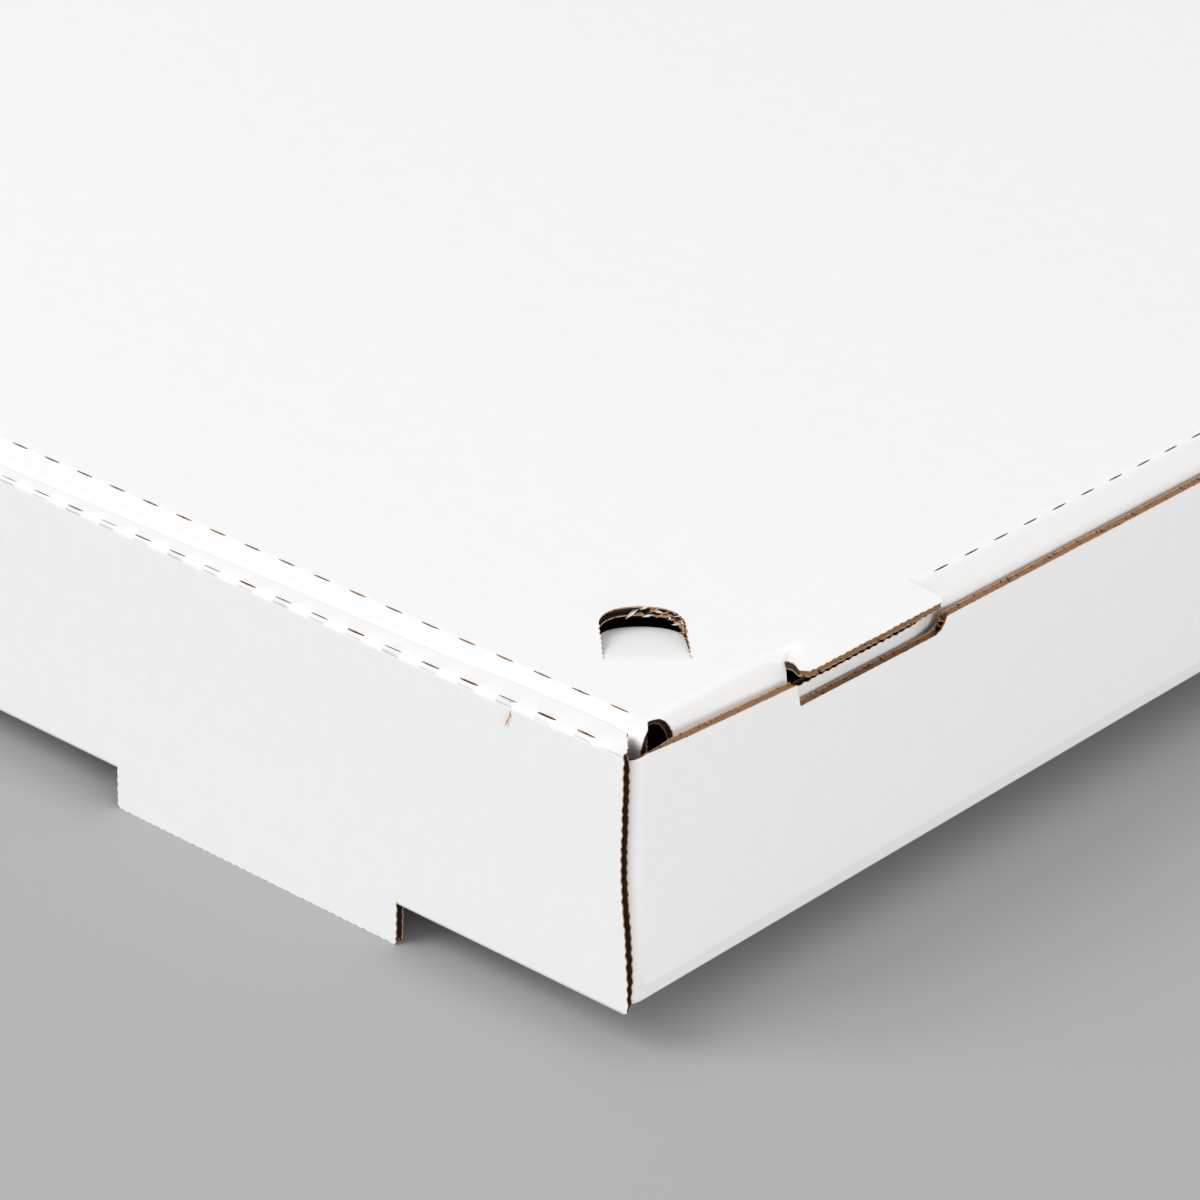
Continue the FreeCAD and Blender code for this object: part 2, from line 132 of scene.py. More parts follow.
def wander(x):
    """How far the land's inner edge and the flap behind it are pushed forward."""
    off = HALF - abs(x)
    push = WANDER[0][1]
    for (near, before), (far, after) in zip(WANDER, WANDER[1:]):
        push += (after - before) * ease(near, far, off)
    return push


class Path:
    """A bent strip's section: straight runs and arcs, as (first, second) by arc length."""

    def __init__(self, start, heading):
        self.parts = []
        self.marks = [0.0]
        self.at = start
        self.heading = heading

    def run(self, length):
        self.parts.append(("run", self.at, self.heading, length, 0.0))
        step = (math.cos(self.heading) * length, math.sin(self.heading) * length)
        self.at = (self.at[0] + step[0], self.at[1] + step[1])
        self.marks.append(self.marks[-1] + length)
        return self

    def turn(self, angle, radius):
        """Turn left for a positive angle."""
        length = abs(angle) * radius
        self.parts.append(("turn", self.at, self.heading, length, math.copysign(radius, angle)))
        self.at = self.place(self.marks[-1] + length, len(self.parts) - 1)
        self.heading += angle
        self.marks.append(self.marks[-1] + length)
        return self

    def place(self, s, part=None):
        if part is None:
            part = 0
            while part < len(self.parts) - 1 and s > self.marks[part + 1]:
                part += 1
        kind, at, heading, _, radius = self.parts[part]
        s -= self.marks[part]
        if kind == "run":
            return at[0] + math.cos(heading) * s, at[1] + math.sin(heading) * s
        side = heading + math.copysign(math.pi / 2, radius)
        centre = (at[0] + math.cos(side) * abs(radius), at[1] + math.sin(side) * abs(radius))
        angle = side + math.pi + s / radius
        return centre[0] + math.cos(angle) * abs(radius), centre[1] + math.sin(angle) * abs(radius)


def steps_between(a, b, step):
    """Multiples of a step strictly between two numbers, in the order from a to b."""
    low, high = min(a, b), max(a, b)
    between = [k * step for k in range(math.floor(low / step), math.ceil(high / step) + 1)
               if low + step * 0.2 < k * step < high - step * 0.2]
    return between if a < b else between[::-1]


def trace(corners):
    """Points round an outline. Each corner is (u, v, kind of the edge that follows it)."""
    points = []
    count = len(corners)
    for index, (u, v, kind) in enumerate(corners):
        next_u, next_v = corners[(index + 1) % count][:2]
        points.append((u, v))
        run = Vector((next_u - u, next_v - v))
        if kind == "fold":
            if abs(run.x) > abs(run.y):
                points += [(at, v) for at in steps_between(u, next_u, FOLD_STEP)]
            else:
                points += [(u, at) for at in steps_between(v, next_v, FOLD_STEP)]
            continue
        if kind == "line" or run.length < CUT_PITCH / 2:
            continue
        wave, depth = CUTS[kind]
        per_wave = len(wave)
        steps = max(2, round(run.length / CUT_PITCH * per_wave))
        across = Vector((-run.y, run.x)).normalized() * depth
        for k in range(1, steps):
            at = Vector((u, v)) + run * (k / steps)
            rough = noise.noise(Vector((at.x * 0.9, at.y * 0.9, index * 3.7)))
            at += across * (wave[k % per_wave] + rough)
            points.append((at.x, at.y))
    return points


def both_sides(half):
    """Corners of a region whose left half mirrors its right, in one turn round it."""
    left = half(-1)
    turned = [(*left[k][:2], left[k - 1][2]) for k in range(len(left) - 1, 0, -1)]
    return [*half(1), *turned]


def lens(centre, open_width):
    """A perforation that has opened: a slim pointed oval."""
    count = 6
    points = []
    for k in range(count * 2):
        angle = math.pi * k / count
        out = 0.0
        if k % count:
            out = math.copysign(abs(math.sin(angle)) ** 0.8, math.sin(angle)) * open_width / 2
        points.append((centre[0] + math.cos(angle) * SLOT_LENGTH / 2, centre[1] + out))
    return points


def crimp(off):
    """Board thickness at a distance from a crease, where it is pressed thin."""
    return CREASED + (BOARD - CREASED) * ease(0.0, CRIMP_REACH, off)


def scatter(index, low, high, step=GOLDEN):
    """Values strewn evenly between two limits."""
    return low + (high - low) * ((index * step) % 1.0)


def inside(point, loop):
    """Whether a point lies within a closed loop."""
    u, v = point
    hit = False
    for index, (u0, v0) in enumerate(loop):
        u1, v1 = loop[index - 1]
        if (v0 > v) != (v1 > v) and u < (u1 - u0) * (v - v0) / (v1 - v0) + u0:
            hit = not hit
    return hit


class Sheet:
    """One folded sheet of board, gathered region by region and closed at its cut edges."""

    def __init__(self, settle):
        self.settle = settle
        self.found = {}
        self.outer = []
        self.inner = []
        self.normals = []
        self.plain = []
        self.across = []
        self.core = []
        self.faces = []
        self.shreds = []

    def add(self, outline, place, facing, across, holes=(), lines=(), grid=9.0,
            thick=None, core=None, swell=None):
        """Add a region, whose outline, holes and lines are in its own flat (u, v).

        place gives the white face's point, core how far a cut edge stands open and so whether its
        core is painted dark as shade, and swell how far the white face rises over the board.
        """
        points = []
        edges = []
        for loop in [outline, *holes]:
            first = len(points)
            points += loop
            edges += [(first + k, first + (k + 1) % len(loop)) for k in range(len(loop))]
        rim = list(points)
        for line in lines:
            first = len(points)
            points += line
            edges += [(first + k, first + k + 1) for k in range(len(line) - 1)]
        low = [min(p[k] for p in outline) for k in (0, 1)]
        high = [max(p[k] for p in outline) for k in (0, 1)]
        cells = {(math.floor(p[0] / grid * 2), math.floor(p[1] / grid * 2)) for p in rim}
        for u in steps_between(low[0], high[0], grid):
            for v in steps_between(low[1], high[1], grid):
                cell = (math.floor(u / grid * 2), math.floor(v / grid * 2))
                near = any((cell[0] + i, cell[1] + j) in cells for i in (-1, 0) for j in (-1, 0))
                if not near and inside((u, v), outline):
                    points.append((u, v))
        made = delaunay_2d_cdt([Vector(p) for p in points], edges, [], 1, 1e-5)
        names = []
        for point in made[0]:
            u, v = point
            thickness = thick(u, v) if thick else BOARD
            opened = core(u, v) if core else OPEN
            names.append(self.point(place, u, v, facing, across(u, v), thickness, opened, swell))
        for face in made[2]:
            middle = sum((made[0][k] for k in face), Vector((0, 0))) / len(face)
            if not inside(middle, outline) or any(inside(middle, hole) for hole in holes):
                continue
            self.face([names[k] for k in face])

    def point(self, place, u, v, facing, across, thickness, opened, swell):
        """Number of the point at (u, v), which neighbouring regions share."""
        h = 0.02
        at = self.settle(Vector(place(u, v)))
        along_u = self.settle(Vector(place(u + h, v))) - self.settle(Vector(place(u - h, v)))
        along_v = self.settle(Vector(place(u, v + h))) - self.settle(Vector(place(u, v - h)))
        key = tuple(round(c * MERGES_PER_MM) for c in at)
        for shift in (key, *[tuple(key[i] + (d if i == k else 0) for i in range(3))
                             for k in range(3) for d in (-1, 1)]):
            if shift in self.found:
                name = self.found[shift]
                self.core[name] = min(self.core[name], opened)
                return name
        normal = (along_u.cross(along_v) * facing).normalized()
        self.found[key] = len(self.outer)
        self.inner.append(at - normal * thickness)
        self.plain.append(normal)
        if swell:
            at = at + normal * swell(u, v)
            along_u += normal * (swell(u + h, v) - swell(u - h, v))
            along_v += normal * (swell(u, v + h) - swell(u, v - h))
        self.outer.append(at)
        self.normals.append((along_u.cross(along_v) * facing).normalized())
        self.across.append(across)
        self.core.append(opened)
        return len(self.outer) - 1

    def shred(self, at, along, length, width, slot=CUT):
        """A torn fibre: a thin spindle, closed on its own."""
        at = self.settle(Vector(at))
        along = Vector(along).normalized()
        up = along.orthogonal().normalized() * width / 2
        beside = along.cross(up)
        ends = [at - along * length / 2, at + along * length / 2]
        self.shreds.append((ends + [at + up, at + beside, at - up, at - beside], slot))

    def face(self, corners):
        if len(set(corners)) < 3:
            return
        a, b, c = (self.outer[k] for k in corners[:3])
        if (b - a).cross(c - a).dot(self.normals[corners[0]] + self.normals[corners[1]]) < 0:
            corners = corners[::-1]
        self.faces.append(corners)

    def rims(self):
        """Edges with a face on one side only, in that face's order."""
        seen = {}
        for face in self.faces:
            for k, a in enumerate(face):
                b = face[(k + 1) % len(face)]
                seen.setdefault((min(a, b), max(a, b)), []).append((a, b))
        return [found[0] for found in seen.values() if len(found) == 1]

    def build(self, name, materials, plain_rim):
        """Make the mesh: both faces, the recessed cut edges that join them with painted shade in their
        open cores, and the fibres.
        """
        count = len(self.outer)
        verts = self.outer + self.inner
        across = self.across * 2
        depths = [0.0] * count + [1.0] * count
        faces = [tuple(f) for f in self.faces]
        faces += [tuple(k + count for k in f[::-1]) for f in self.faces]
        slots = [WHITE] * len(self.faces) + [KRAFT] * len(self.faces)
        smooth = [self.normals[k] for f in self.faces for k in f]
        smooth += [-self.plain[k] for f in self.faces for k in f[::-1]]
        rims = self.rims()
        inward = {}
        for a, b in rims:
            run = (self.outer[b] - self.outer[a]).normalized()
            for k in (a, b):
                inward[k] = inward.get(k, Vector()) + self.plain[k].cross(run)
        levels = ((0.15, 0.0), (0.18, 1.0), (0.5, 1.3), (0.82, 1.0), (0.85, 0.0))
        rings = {}
        for k, way in inward.items():
            way = way.normalized() if way.length > 1e-6 else Vector()
            ring = [k]
            joint = plain_rim(self.outer[k])
            for depth, recess in levels:
                recess *= self.core[k] * (1 + 0.4 * noise.noise(self.outer[k] * 1.3))
                step = way * (0.0 if joint else recess)
                ring.append(len(verts))
                verts.append(self.outer[k].lerp(self.inner[k], depth) + step)
                across.append(self.across[k])
                depths.append(depth)
            ring.append(k + count)
            rings[k] = ring
        for a, b in rims:
            low, high = rings[a], rings[b]
            # Open cores take the dark flute colour as painted shade; pressed ones keep the plain cut
            # colour.
            core = FLUTE_SHADE if min(self.core[a], self.core[b]) > PRESSED + NUDGE else CUT
            for level in range(len(low) - 1):
                corners = (low[level], low[level + 1], high[level + 1], high[level])
                faces.append(corners)
                slots.append(core if 1 <= level <= 4 else CUT)
                p = [verts[k] for k in corners]
                normal = (p[2] - p[0]).cross(p[3] - p[1]).normalized()
                smooth += [normal] * 4
        for spindle, slot in self.shreds:
            first = len(verts)
            verts += spindle
            across += [0.0] * len(spindle)
            depths += [1.0] * len(spindle)
            for k in range(4):
                a, b = 2 + k, 2 + (k + 1) % 4
                for corners in ((0, b, a), (1, a, b)):
                    p = [spindle[c] for c in corners]
                    faces.append(tuple(first + c for c in corners))
                    slots.append(slot)
                    smooth += [(p[1] - p[0]).cross(p[2] - p[0]).normalized()] * 3
        mesh = bpy.data.meshes.new(name)
        mesh.from_pydata([v * MM for v in verts], [], faces)
        for coat in materials:
            mesh.materials.append(coat)
        mesh.polygons.foreach_set("material_index", slots)
        for layer, values in (("across", [value * MM for value in across]), ("depth", depths)):
            mesh.attributes.new(layer, "FLOAT", "POINT").data.foreach_set("value", values)
        mesh.polygons.foreach_set("use_smooth", [True] * len(faces))
        mesh.normals_split_custom_set(smooth)
        mesh.update()
        piece = bpy.data.objects.new(name, mesh)
        bpy.context.scene.collection.objects.link(piece)
        return piece


def level_line(low, high, v, step=FOLD_STEP):
    """A line of points across a bend, for an even curve."""
    return [(u, v) for u in [low, *steps_between(low, high, step), high]]


def row_of(first, last, count):
    """Evenly spaced numbers, both ends included."""
    return [first + (last - first) * k / (count - 1) for k in range(count)]


# The tray

def end_lean(s, bottom, top):
    """Where the front wall's end stands, by height up the wall."""
    part = min(max((s - bottom) / (top - bottom), 0.0), 1.0)
    return HALF + 1.2 - 2.0 * ease(0.0, 0.62, part)


def feet_outline(sx, base):
    """A wall's lower edge from its middle to past its foot."""
    return [(0.0, base, "fold"), (sx * FOOT[0], base, "cut"), (sx * FOOT[0], 0.6, "line"),
            (sx * (FOOT[0] + 0.6), 0.0, "cut"), (sx * (FOOT[1] - 0.4), 0.0, "line"),
            (sx * FOOT[1], 0.4, "cut"), (sx * FOOT[1], base, "fold")]


def beside_foot(u):
    return FOOT[0] - 1 < abs(u) < FOOT[1] + 1


def tray_front(sheet):
    """Front wall with its feet, the land and the lining that hangs inside."""
    path = Path((-HALF, 0.0), math.pi / 2)
    path.run(TOP - LAND_BEND).turn(-math.pi / 2, LAND_BEND)
    path.run(LAND - LAND_BEND - LAND_BACK_BEND).turn(-math.pi / 2, LAND_BACK_BEND)
    path.run(TOP - LAND_BACK_BEND - LINING_FOOT)
    wall_top, land_front, land_back, lining_top, foot = path.marks[1:6]
    base = BASE + BASE_BEND

    rows = row_of(FRONT_SLIT, -FRONT_SLIT, SLITS)
    pitch = rows[0] - rows[1]
    slit = land_front - 0.15

    def place(u, s):
        y, z = path.place(s)
        inner = ease(wall_top, land_back, s) * (1 - ease(lining_top, foot, s))
        return u, y + wander(u) * inner, z

    def lip(u, s):
        """The fold stays square under each perforation, so the board stands out as a lip."""
        angle = (land_front - s) / LAND_BEND
        if not 0.0 < angle < 1.5:
            return 0.0
        index = round((rows[0] - u) / pitch)
        off = abs(u - rows[0] + index * pitch)
        high = 0.3 + 0.12 * math.sin(index * 4.1)
        square = min(1 / math.cos(min(angle, 1.2)) - 1, high) * LAND_BEND
        return square * (1 - ease(0.8, 1.25, angle)) * (1 - ease(1.25, 1.75, off))

    def half(sx):
        rise = [(sx * end_lean(base + (wall_top - base) * k / 8, base, wall_top),
                 base + (wall_top - base) * k / 8, "cut") for k in range(9)]
        return [*feet_outline(sx, base), *rise,
                (sx * (HALF - 1.0), land_front, "cut"), (sx * (HALF - 2.4), land_front + 1.7, "cut"),
                (sx * (HALF - 4.4), land_back + 0.1, "cut"), (sx * (HALF - 4.75), lining_top, "cut"),
                (sx * (HALF - 4.8), foot, "cut"), (sx * (FOOT[1] - 2.5), foot, "cut"),
                (sx * (FOOT[1] - 2.5), foot + LINING_FOOT - LOCK_FOOT, "cut"),
                (sx * (FOOT[0] + 2.5), foot + LINING_FOOT - LOCK_FOOT, "cut"),
                (sx * (FOOT[0] + 2.5), foot, "cut")]

    def thick(u, s):
        front = ease(wall_top - 1.5, wall_top, s) * (1 - ease(land_front, land_front + 1.2, s))
        back = ease(land_back - 1.2, land_back, s) * (1 - ease(lining_top, lining_top + 1.6, s))
        bent = (BOARD - LAND_BEND * 0.95) * front + (BOARD - LAND_BACK_BEND * 0.95) * back
        bent += 0.6 * (1 - ease(base, base + 7, s)) * ease(HALF - 6, HALF - 1, abs(u))
        return (BOARD if beside_foot(u) else crimp(s - base)) - bent

    def core(u, s):
        near = min(abs(abs(u) - row) for row in rows[:SLITS // 2])
        if near < SLOT_LENGTH / 2 + 0.2 and abs(s - slit) < 0.6:
            return PRESSED
        return AJAR if wall_top - 0.5 < s < lining_top + 0.5 else OPEN

    holes = [lens((x, slit), 0.42 + 0.14 * math.sin(index * 2.3)) for index, x in enumerate(rows)]
    lines = []
    by_slits = sorted(x + 3.6 * (k / 10 - 0.5) for x in rows for k in range(11))
    steps = [1.6 - HALF, *by_slits, HALF - 1.6]
    for angle in (0.45, 0.6, 0.75, 0.9, 1.05, 1.2, 1.4):
        lines.append([(u, land_front - angle * LAND_BEND) for u in steps])
    lines.append(level_line(-HALF + 2.2, HALF - 2.2, wall_top))
    lines.append(level_line(-HALF + 2.2, HALF - 2.2, base + CRIMP_REACH))
    for k in range(5):
        lines.append(level_line(-HALF + 5.4, HALF - 5.4, land_back + (lining_top - land_back) * k / 4))
    sheet.add(trace(both_sides(half)), place, 1, lambda u, s: u, holes, lines,
              thick=thick, core=core, swell=lip)
    for k, behind in enumerate((0.3, -0.1, -0.2)):
        at = (rows[2] + 1.1 + 0.3 * math.sin(2.0 * k), behind - HALF, TOP - 0.3 - 1.3 * k)
        sheet.shred(at, (0.35 - 0.3 * k, -0.2, -1.0), 1.9, 0.26)


def floor_and_bends(sheet):
    """Base panel, and the bends that join it to its four walls."""
    flat = HALF - BASE_BEND
    inner = HALF - SLOT_DEPTH
    corner = CORNER_TURN

    def quarter(sx, sy):
        return [(0.0, sy * flat, "fold"), (sx * FOOT[0], sy * flat, "cut"),
                (sx * FOOT[0], sy * inner, "cut"), (sx * FOOT[1], sy * inner, "cut"),
                (sx * FOOT[1], sy * flat, "fold"), (sx * corner, sy * flat, "cut"),
                (sx * corner, sy * corner, "cut"), (sx * flat, sy * corner, "fold")]

    loop = quarter(1, -1)
    kinds = ("cut", "cut", "fold", "cut", "cut", "cut", "fold", "fold")
    loop += [(u, v, kind) for (u, v, _), kind in zip(quarter(1, 1)[::-1], kinds)]
    other = [(-u, v, kind) for u, v, kind in loop]
    turned = [(*other[k][:2], other[k - 1][2]) for k in range(len(other) - 2, 0, -1)]
    outline = trace([*loop[:-1], (0.0, flat, "fold"), *turned])
    crimped = flat - CRIMP_REACH
    lines = []
    for sign in (-1, 1):
        lines.append(level_line(-FOOT[0] + 1, FOOT[0] - 1, sign * crimped))
        for low in (-corner + 2, FOOT[1] + 1):
            lines.append(level_line(low, low + corner - FOOT[1] - 3, sign * crimped))
        lines.append([(sign * crimped, v) for v in row_of(-corner + 2, corner - 2, 50)])
    sheet.add(outline, lambda u, v: (u, v, BASE), -1, lambda u, v: u, lines=lines, grid=12.0,
              thick=lambda u, v: crimp(flat - max(abs(u), abs(v))))

    arc = BASE_BEND * math.pi / 2

    def creased(u, s):
        return CREASED

    for sy in (-1, 1):
        reach = HALF + 1.2 if sy < 0 else HALF
        for low, high in ((-FOOT[0], FOOT[0]), (FOOT[1], reach), (-reach, -FOOT[1])):
            def place(u, s, sy=sy):
                angle = s / BASE_BEND
                return (u, sy * (flat + math.sin(angle) * BASE_BEND),
                        BASE + BASE_BEND - math.cos(angle) * BASE_BEND)
            near, far = max(low, -corner), min(high, corner)
            around = [(near, 0.0, "fold"), (far, 0.0, "line"), (high, arc, "fold"), (low, arc, "line")]
            if high > corner:
                around[2:2] = [(HALF - 1.2, arc * 0.2, "line"), (high - 0.8, arc * 0.55, "line")]
            if low < -corner:
                around += [(low + 0.8, arc * 0.55, "line"), (1.2 - HALF, arc * 0.2, "line")]
            lines = [level_line(near if low > -corner else inset - HALF,
                                far if high < corner else HALF - inset, arc * k / 4)
                     for k, inset in ((1, 1.6), (2, 0.0), (3, -0.6))]
            sheet.add(trace(around), place, -1 if sy > 0 else 1, lambda u, s: u, lines=lines,
                      thick=creased, core=lambda u, s: 0.5)
    for sx in (-1, 1):
        def place(u, s, sx=sx):
            angle = s / BASE_BEND
            over = min(max(abs(u) - corner, 0.0), 1.4)
            turned_in = CORNER_BEND - math.sqrt(CORNER_BEND ** 2 - over ** 2)
            return (sx * (flat + math.sin(angle) * BASE_BEND - turned_in), u,
                    BASE + BASE_BEND - math.cos(angle) * BASE_BEND)
        outline = trace([(-corner, 0.0, "fold"), (corner, 0.0, "line"),
                         (corner + 0.8, arc * 0.25, "line"), (corner + 1.4, arc * 0.6, "line"),
                         (corner + 1.4, arc * 0.96, "line"), (corner, arc, "fold"),
                         (-corner, arc, "line"), (-corner - 1.4, arc * 0.96, "line"),
                         (-corner - 1.4, arc * 0.6, "line"), (-corner - 0.8, arc * 0.25, "line")])
        lines = [level_line(-corner, corner, arc * k / 4) for k in (1, 2, 3)]
        sheet.add(outline, place, sx, lambda u, s, sx=sx: sx * (HALF + s), lines=lines,
                  thick=creased, core=lambda u, s: PRESSED)


def side_wall(sheet, sx):
    """Side wall with its notch, and the end flaps folded in behind the front and back walls."""
    base = BASE + BASE_BEND
    turn = CORNER_TURN
    front_top, back_top, notch_floor = BASE + 38.2, BASE + 36.2, BASE + 33.9
    flap_top = TOP - 4.4

    def place(u, s):
        return sx * HALF, u, s

    outline = trace([
        (-turn, base, "fold"), (turn, base, "fold"), (turn, back_top, "trim"),
        (-HALF + 70.7, back_top, "line"), (-HALF + 70.5, notch_floor + 2.2, "line"),
        (-HALF + 70.1, notch_floor + 1.2, "line"), (-HALF + 69.3, notch_floor + 0.4, "line"),
        (-HALF + 68.0, notch_floor, "trim"), (-HALF + 37.1, notch_floor + 0.1, "trim"),
        (-HALF + 36.1, front_top - 0.5, "trim"), (-HALF + 13.0, front_top + 0.4, "trim"),
        (-HALF + 7.0, front_top + 0.8, "trim"), (-turn, front_top + 1.1, "fold")])

    # The notch's end stands open, so its core takes the painted shade.
    def core(u, s):
        return OPEN if 69.0 < u + HALF < 71.0 and s > notch_floor + 0.2 else PRESSED

    def pinched(u, s):
        top = 1.2 * (1 - ease(-turn - 0.5, -turn + 9.0, u)) * ease(front_top - 7, front_top, s)
        return crimp(s - base) - top

    lines = [level_line(1 - turn, turn - 1, base + CRIMP_REACH),
             level_line(0.5 - turn, 10 - turn, front_top - 3, 2.0)]
    sheet.add(outline, place, sx, lambda u, s: s, lines=lines, thick=pinched, core=core)
    arc = CORNER_BEND * math.pi / 2
    for k in range(8):
        at = (sx * (HALF - scatter(k, 0.2, 1.2)), -HALF + 70.4 - scatter(k, 0.0, 1.0, 0.57),
              notch_floor + scatter(k, 0.4, 2.2, 0.755))
        along = (scatter(k, -1, 1, 0.43), 0.5, scatter(k, -1, 1))
        sheet.shred(at, along, scatter(k, 0.6, 1.2, 0.354), 0.22)
    for sy, top, turned_top in ((-1, front_top + 1.1, front_top), (1, back_top, back_top)):
        def bend(u, s, sy=sy):
            angle = s / CORNER_BEND
            return (sx * (HALF - CORNER_BEND + math.cos(angle) * CORNER_BEND),
                    sy * (turn + math.sin(angle) * CORNER_BEND), u)
        outline = trace([(base, 0.0, "fold"), (top, 0.0, "trim"),
                         (turned_top, arc, "fold"), (base, arc, "trim")])
        lines = [level_line(base + 0.2, turned_top - 0.4, arc * k / 4) for k in (1, 2, 3)]
        sheet.add(outline, bend, -sx * sy, lambda u, s: u, lines=lines,
                  thick=lambda u, s, sy=sy: pinched(-turn, u) if sy < 0 else crimp(u - base),
                  core=lambda u, s: PRESSED)
        face = turn + CORNER_BEND
        root = HALF - CORNER_BEND
        end = HALF - 46.0
        level = min(flap_top, turned_top)
        outline = trace([(root, base, "fold"), (root, turned_top, "cut"), (root - 8, level, "cut"),
                         (end + 7, level, "cut"), (end, flap_top - 14, "cut"),
                         (end, LINING_FOOT, "cut"), (root - 3, LINING_FOOT, "cut")])
        sheet.add(outline, lambda u, s, sy=sy: (sx * u, sy * face, s), -sx * sy, lambda u, s: s)


def back_wall(sheet):
    """Single rear wall with its two feet, up to the crease of the lid."""
    base = BASE + BASE_BEND
    top = TOP - HINGE_BEND

    def half(sx):
        return [*feet_outline(sx, base), (sx * HALF, base, "cut"),
                (sx * HALF, top - 4, "cut"), (sx * HINGE_END, top, "fold")]

    def thick(u, s):
        return BOARD if beside_foot(u) else crimp(s - base)

    sheet.add(trace(both_sides(half)), lambda u, s: (u, HALF, s), -1, lambda u, s: u,
              lines=[level_line(2 - HALF, HALF - 2, base + CRIMP_REACH)], thick=thick)


def hinge_strip(sheet):
    """The crease that joins the back wall to the lid."""
    arc = HINGE_BEND * math.pi / 2

    def place(u, s):
        angle = s / HINGE_BEND
        return (u, HALF - HINGE_BEND + math.cos(angle) * HINGE_BEND,
                TOP - HINGE_BEND + math.sin(angle) * HINGE_BEND)

    outline = trace([(-HINGE_END, 0.0, "fold"), (HINGE_END, 0.0, "cut"),
                     (LID_SIDE, arc, "fold"), (-LID_SIDE, arc, "cut")])
    lines = [level_line(-HINGE_END, HINGE_END, arc * k / 4) for k in (1, 2, 3)]
    sheet.add(outline, place, -1, lambda u, s: u, lines=lines)


# The lid

def vent_shape(sx, shrink=0.0):
    """A vent's fold, the way its tongue points, and its outline from one end of the fold."""
    fold = Vector((sx * VENT_FOLD[0], VENT_FOLD[1]))
    ahead = Vector((-sx, 1.0)).normalized()
    side = Vector((ahead.y, -ahead.x)) * (VENT_WIDTH / 2 - shrink)
    straight = VENT_REACH - shrink - side.length
    points = [fold + side]
    count = 44
    for k in range(count + 1):
        angle = math.pi * k / count
        out = ahead * (straight + math.sin(angle) * side.length)
        points.append(fold + out + side * math.cos(angle))
    points.append(fold - side)
    return fold, ahead, [tuple(p) for p in points]


def torn_rim(sheet, fold, ahead, rim):
    """Fibres left along the outer half of a vent's rim, where the paper tore."""
    middle = fold + ahead * 8
    for k in range(46):
        at = 1 + int(26 * scatter(k, 0.0, 1.0) ** 1.4)
        inward = (middle - rim[at]).normalized()
        tangent = (rim[at + 1] - rim[at - 1]).normalized()
        spot = rim[at] + inward * scatter(k, 0.0, 0.45, 0.354)
        tilt = tangent + inward * scatter(k, -0.5, 0.7, 0.57)
        sheet.shred((*spot, TOP - scatter(k, 0.15, 1.6, 0.755)), (*tilt, scatter(k, -0.6, 0.6, 0.43)),
                    scatter(k, 0.9, 2.4, 0.57), scatter(k, 0.14, 0.36, 0.755), CUT if k % 3 else WHITE)
    for k in range(9):
        spot = rim[0] + ahead * scatter(k, 1.0, 10.0)
        sheet.shred((*spot, TOP - scatter(k, 0.0, 0.3, 0.755)), (*ahead, scatter(k, -0.5, 0.5, 0.43)),
                    scatter(k, 0.5, 1.3, 0.57), 0.28)


